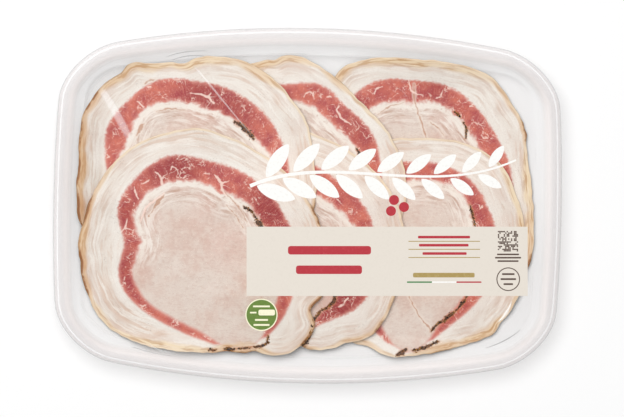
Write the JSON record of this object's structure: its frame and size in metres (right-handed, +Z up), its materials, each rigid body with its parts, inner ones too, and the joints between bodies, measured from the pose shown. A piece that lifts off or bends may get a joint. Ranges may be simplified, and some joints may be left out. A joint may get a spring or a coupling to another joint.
{
  "type": "tray pack of sliced porchetta",
  "caption": "Sealed clear shallow tray with bowed sides and a flange, holding thin overlapping slices of rolled roast pork under a flat lidding film with a plain label panel.",
  "frame": {"origin": "middle of the tray's flat underside, on the surface that the pack lies on", "axes": "+X along the pack's long side, +Y towards the edge that is at the top of the picture, +Z up through the film"},
  "size_m": [0.25, 0.175, 0.016],
  "materials": {
    "tray_plastic": "clear thermoformed plastic, very slightly milky, glossy",
    "film": "thin clear lidding film, glossy and taut",
    "panel_ink": "matt beige ink printed on the film",
    "badge_ink": "green ink printed on the film",
    "fat": "moist cream-white pork fat with a thin golden brown rind",
    "lean": "moist rose-red lean meat with fine white marbling",
    "loin": "pale pink-beige roast loin, moist and fine grained"
  },
  "bodies": {
    "root": {"tray": "tray_plastic", "lid_film": "film", "label_panel": "panel_ink", "round_badge": "badge_ink", "slice_1_fat": "fat", "slice_1_lean": "lean", "slice_1_loin": "loin", "slice_2_fat": "fat", "slice_2_lean": "lean", "slice_2_loin": "loin", "slice_3_fat": "fat", "slice_3_lean": "lean", "slice_3_loin": "loin", "slice_4_fat": "fat", "slice_4_lean": "lean", "slice_4_loin": "loin", "slice_5_fat": "fat", "slice_5_lean": "lean", "slice_5_loin": "loin", "slice_6_fat": "fat", "slice_6_lean": "lean", "slice_6_loin": "loin"}
  },
  "joints": []
}
